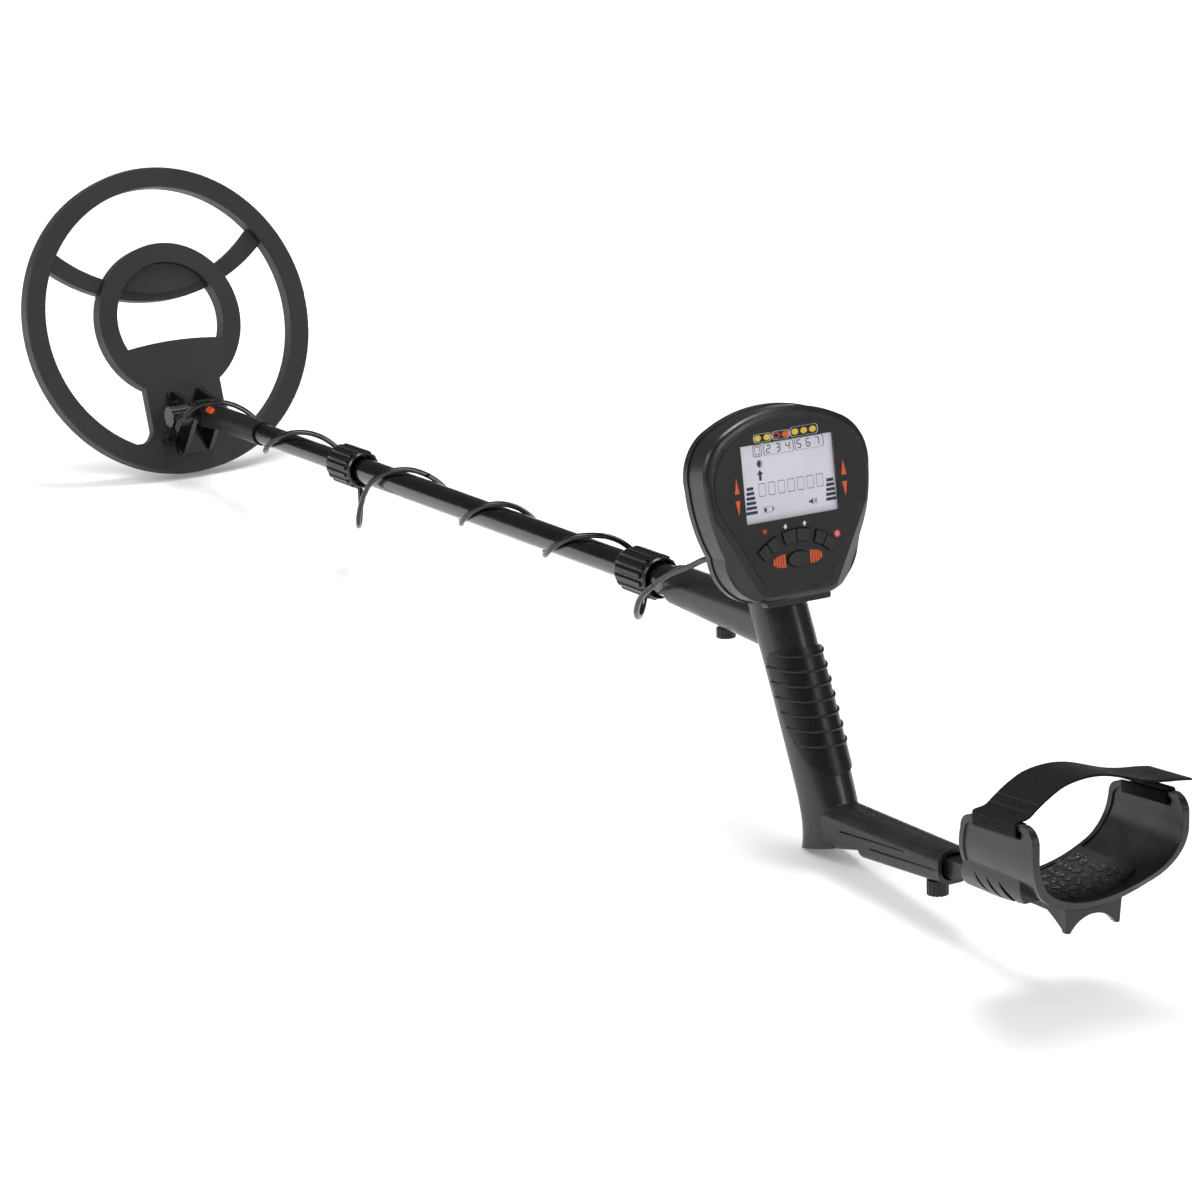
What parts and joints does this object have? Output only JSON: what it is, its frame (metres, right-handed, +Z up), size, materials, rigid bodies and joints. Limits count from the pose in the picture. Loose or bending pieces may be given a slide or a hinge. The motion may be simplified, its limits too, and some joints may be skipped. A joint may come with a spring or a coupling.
{
  "type": "metal detector",
  "caption": "Ground-search metal detector with an open web coil, telescoping stem, S-shaped handle, upright control box with a screen and keys, and a strapped arm cuff",
  "frame": {"origin": "on the floor under the middle of the bounding box, with the coil's rim and the handle's heel standing on the floor", "axes": "+Z up, +X towards the user's elbow along the object's length, +Y to the user's left when facing the coil"},
  "size_m": [1.2678, 0.2468, 0.28],
  "materials": {
    "black_plastic": "satin moulded black plastic",
    "black_tube": "black coated aluminium tube",
    "black_rubber": "soft black rubber",
    "black_webbing": "woven black webbing",
    "steel": "plated steel",
    "copper_wire": "enamelled copper wire",
    "orange_plastic": "orange plastic",
    "face_print": "printed face overlay",
    "window": "clear window",
    "display": "liquid crystal display",
    "board": "green circuit board",
    "battery_case": "battery wrapper",
    "contact_metal": "plated contacts",
    "grey_rubber": "silicone key mat"
  },
  "bodies": {
    "handle": {"upper_rod": "black_tube", "upper_lock_sleeve": "black_plastic", "upper_collet": "black_plastic", "handle_left_half": "black_plastic", "handle_right_half": "black_plastic", "grip_sleeve": "black_rubber", "handle_screws": "steel", "box_front_shell": "black_plastic", "box_rear_shell": "black_plastic", "face_panel": "face_print", "screen_window": "window", "display_module": "display", "key_mat": "grey_rubber", "circuit_board": "board", "batteries": "battery_case", "battery_contacts": "contact_metal", "speaker": "black_plastic", "headphone_jack": "black_plastic", "cable_socket": "black_plastic", "cable_plug": "black_plastic", "box_screws": "steel", "cable_box_lead": "black_rubber"},
    "coil": {"coil_top_shell": "black_plastic", "coil_bottom_cover": "black_plastic", "transmit_winding": "copper_wire", "receive_winding": "copper_wire", "coil_cable_gland": "black_rubber", "hinge_bracket": "black_plastic", "hinge_bolt": "steel", "hinge_washers": "black_rubber", "cable_coil_lead": "black_rubber"},
    "hinge_nut": {"hinge_knob": "black_plastic"},
    "lower_stem": {"lower_rod": "black_tube", "rod_end": "black_plastic", "rod_end_marker": "orange_plastic", "cable_lower_turn": "black_rubber"},
    "lower_nut": {"lower_lock_nut": "black_plastic"},
    "middle_stem": {"middle_rod": "black_tube", "lower_lock_sleeve": "black_plastic", "lower_collet": "black_plastic", "cable_middle_turn": "black_rubber"},
    "upper_nut": {"upper_lock_nut": "black_plastic"},
    "front_clamp": {"front_clamp_knob": "black_plastic"},
    "rear_clamp": {"rear_clamp_knob": "black_plastic"},
    "cuff": {"cuff_stalk": "black_plastic", "arm_cuff": "black_plastic", "cuff_pad": "black_rubber", "cuff_screws": "steel", "stand_foot": "black_plastic", "arm_strap": "black_webbing"},
    "door": {"battery_door": "black_plastic"},
    "button_set": {"key_set": "black_rubber"},
    "button_mode": {"key_mode": "black_rubber"},
    "button_down": {"key_down": "black_rubber"},
    "button_up": {"key_up": "black_rubber"},
    "button_enter": {"key_enter": "black_rubber"},
    "button_power": {"key_power": "black_rubber"},
    "button_pinpoint": {"key_pinpoint": "black_rubber"}
  },
  "joints": [
    {"name": "middle_slide", "type": "slide", "parent": "handle", "child": "middle_stem", "axis": [0.9948, 0, 0.1018], "range_m": [-0.04, 0.085], "deforming": ["cable_middle_turn"]},
    {"name": "upper_nut_twist", "type": "hinge", "parent": "handle", "child": "upper_nut", "pos_m": [0.12934, 0, 0.12162], "axis": [0.9948, 0, 0.1018], "range_deg": [0, 120]},
    {"name": "lower_slide", "type": "slide", "parent": "middle_stem", "child": "lower_stem", "axis": [0.9948, 0, 0.1018], "range_m": [-0.1, 0.105], "deforming": ["cable_lower_turn"]},
    {"name": "lower_nut_twist", "type": "hinge", "parent": "middle_stem", "child": "lower_nut", "pos_m": [-0.27853, 0, 0.07987], "axis": [0.9948, 0, 0.1018], "range_deg": [0, 120]},
    {"name": "coil_tilt", "type": "hinge", "parent": "lower_stem", "child": "coil", "pos_m": [-0.51425, 0, 0.05572], "axis": [0, 1, 0], "range_deg": [-65, 60], "deforming": ["cable_coil_lead"]},
    {"name": "hinge_knob_turn", "type": "hinge", "parent": "coil", "child": "hinge_nut", "pos_m": [-0.51425, -0.02, 0.05572], "axis": [0, 1, 0], "range_deg": [0, 180]},
    {"name": "front_clamp_turn", "type": "hinge", "parent": "handle", "child": "front_clamp", "pos_m": [0.22787, 0, 0.1116], "axis": [-0.1018, 0, 0.9948], "range_deg": [0, 180]},
    {"name": "rear_clamp_turn", "type": "hinge", "parent": "handle", "child": "rear_clamp", "pos_m": [0.47027, 0, 0.02182], "axis": [-0.1018, 0, 0.9948], "range_deg": [0, 180]},
    {"name": "cuff_slide", "type": "slide", "parent": "handle", "child": "cuff", "axis": [0.9948, 0, 0.1018], "range_m": [-0.045, 0.02]},
    {"name": "battery_door_swing", "type": "hinge", "parent": "handle", "child": "door", "pos_m": [0.26638, 0, 0.19275], "axis": [0, -1, 0], "range_deg": [0, 95]},
    {"name": "key_set_press", "type": "slide", "parent": "handle", "child": "button_set", "axis": [-0.9726, 0, -0.2325], "range_m": [0, 0.001], "stiffness_N_per_m": 1200, "springref_m": -0.0003},
    {"name": "key_mode_press", "type": "slide", "parent": "handle", "child": "button_mode", "axis": [-0.9726, 0, -0.2325], "range_m": [0, 0.001], "stiffness_N_per_m": 1200, "springref_m": -0.0003},
    {"name": "key_down_press", "type": "slide", "parent": "handle", "child": "button_down", "axis": [-0.9726, 0, -0.2325], "range_m": [0, 0.001], "stiffness_N_per_m": 1200, "springref_m": -0.0003},
    {"name": "key_up_press", "type": "slide", "parent": "handle", "child": "button_up", "axis": [-0.9726, 0, -0.2325], "range_m": [0, 0.001], "stiffness_N_per_m": 1200, "springref_m": -0.0003},
    {"name": "key_enter_press", "type": "slide", "parent": "handle", "child": "button_enter", "axis": [-0.9726, 0, -0.2325], "range_m": [0, 0.001], "stiffness_N_per_m": 1200, "springref_m": -0.0003},
    {"name": "key_power_press", "type": "slide", "parent": "handle", "child": "button_power", "axis": [-0.9726, 0, -0.2325], "range_m": [0, 0.001], "stiffness_N_per_m": 1200, "springref_m": -0.0003},
    {"name": "key_pinpoint_press", "type": "slide", "parent": "handle", "child": "button_pinpoint", "axis": [-0.9726, 0, -0.2325], "range_m": [0, 0.001], "stiffness_N_per_m": 1200, "springref_m": -0.0003}
  ]
}
